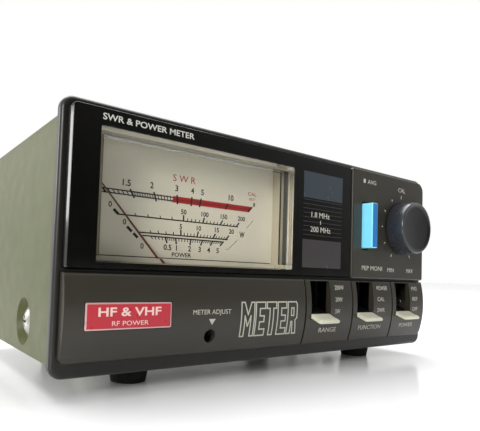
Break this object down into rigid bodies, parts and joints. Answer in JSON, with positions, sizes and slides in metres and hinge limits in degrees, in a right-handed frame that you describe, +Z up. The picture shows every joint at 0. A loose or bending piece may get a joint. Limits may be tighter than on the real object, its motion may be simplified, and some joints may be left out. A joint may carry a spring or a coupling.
{
  "type": "swr and power meter",
  "caption": "Desk-top SWR and power meter: steel case, moulded front with a moving-coil meter, lever switches, push button, calibration knob and rear coaxial sockets.",
  "frame": {"origin": "middle of the footprint on the table, at the underside of the feet", "axes": "+X to the right seen from the front, +Y from the front panel to the sockets, +Z up"},
  "size_m": [0.148, 0.1022, 0.0695],
  "materials": {
    "front_plastic": "fine satin texture",
    "plate_gloss": "polished",
    "badge_red": "satin print with a pale border",
    "cover_paint": "satin paint",
    "chassis_steel": "zinc plated",
    "coupler_tin": "tinned",
    "screw_steel": "nickel plated",
    "foot_rubber": "matt",
    "window_clear": "clear acrylic",
    "meter_plastic": "satin beige",
    "scale_print": "matt print",
    "pointer_paint": "painted",
    "coil_copper": "enamelled wire",
    "magnet_iron": "dark grey",
    "brass_parts": "bright",
    "adjuster_steel": "turned",
    "lamp_glass": "warm glass",
    "knob_plastic": "satin with a thin light rim",
    "shaft_metal": "turned",
    "nut_chrome": "bright",
    "button_blue": "translucent blue",
    "switch_black": "moulded",
    "lever_ivory": "satin ivory",
    "pin_steel": "ground",
    "board_green": "solder mask",
    "board_blue": "moulded",
    "line_copper": "copper",
    "ferrite": "matt ferrite",
    "socket_nickel": "nickel plated",
    "insulator_white": "white resin",
    "contact_gold": "plated brass",
    "jack_black": "moulded"
  },
  "bodies": {
    "housing": {"front_panel": "front_plastic", "window_plate": "plate_gloss", "badge": "badge_red", "top_cover": "cover_paint", "chassis": "chassis_steel", "rear_panel": "chassis_steel", "front_screws": "screw_steel", "cover_screws": "screw_steel", "foot_front_left": "foot_rubber", "foot_front_right": "foot_rubber", "foot_rear_left": "foot_rubber", "foot_rear_right": "foot_rubber", "foot_screws": "screw_steel", "meter_cover": "window_clear", "meter_case": "meter_plastic", "scale_plate": "scale_print", "meter_core": "magnet_iron", "meter_magnet": "magnet_iron", "front_bridge": "brass_parts", "rear_bridge": "brass_parts", "hairsprings": "brass_parts", "meter_terminals": "brass_parts", "meter_lamps": "lamp_glass", "cal_pot": "shaft_metal", "pot_nut": "nut_chrome", "button_switch": "switch_black", "range_switch": "switch_black", "function_switch": "switch_black", "power_switch": "switch_black", "lever_pins": "pin_steel", "switch_board": "board_green", "main_board": "board_green", "board_parts": "board_blue", "board_link": "switch_black", "board_spacers": "brass_parts", "board_screws": "screw_steel", "coupler_box": "coupler_tin", "coupler_line": "line_copper", "coupler_core": "ferrite", "tx_flange": "socket_nickel", "tx_barrel": "socket_nickel", "tx_insulator": "insulator_white", "tx_contact": "contact_gold", "ant_flange": "socket_nickel", "ant_barrel": "socket_nickel", "ant_insulator": "insulator_white", "ant_contact": "contact_gold", "socket_screws": "screw_steel", "socket_nuts": "screw_steel", "dc_jack": "jack_black", "dc_jack_nut": "nut_chrome"},
    "needle": {"pointer": "pointer_paint", "moving_coil": "coil_copper"},
    "adjuster": {"zero_adjuster": "adjuster_steel"},
    "knob": {"cal_knob": "knob_plastic", "pot_shaft": "shaft_metal"},
    "button": {"moni_button": "button_blue"},
    "range_paddle": {"range_lever": "lever_ivory"},
    "function_paddle": {"function_lever": "lever_ivory"},
    "power_paddle": {"power_lever": "lever_ivory"}
  },
  "joints": [
    {"name": "needle_swing", "type": "hinge", "parent": "housing", "child": "needle", "pos_m": [-0.0353, -0.03505, 0.0234], "axis": [0, 1, 0], "range_deg": [0, 86], "stiffness_Nm_per_rad": 0.00003, "springref_deg": -17.19},
    {"name": "zero_adjust_turn", "type": "hinge", "parent": "housing", "child": "adjuster", "pos_m": [-0.0322, -0.0377, 0.0128], "axis": [0, 1, 0], "range_deg": [-30, 30]},
    {"name": "cal_knob_turn", "type": "hinge", "parent": "housing", "child": "knob", "pos_m": [0.0558, -0.0477, 0.0486], "axis": [0, 1, 0], "range_deg": [-150, 150]},
    {"name": "moni_button_press", "type": "slide", "parent": "housing", "child": "button", "axis": [0, 1, 0], "range_m": [0, 0.003], "stiffness_N_per_m": 300, "springref_m": -0.002},
    {"name": "range_lever_tilt", "type": "hinge", "parent": "housing", "child": "range_paddle", "pos_m": [0.0114, -0.0291, 0.023], "axis": [-1, 0, 0], "range_deg": [0, 32]},
    {"name": "function_lever_tilt", "type": "hinge", "parent": "housing", "child": "function_paddle", "pos_m": [0.0344, -0.0291, 0.023], "axis": [-1, 0, 0], "range_deg": [0, 32]},
    {"name": "power_lever_tilt", "type": "hinge", "parent": "housing", "child": "power_paddle", "pos_m": [0.0574, -0.0291, 0.023], "axis": [-1, 0, 0], "range_deg": [0, 32]}
  ]
}
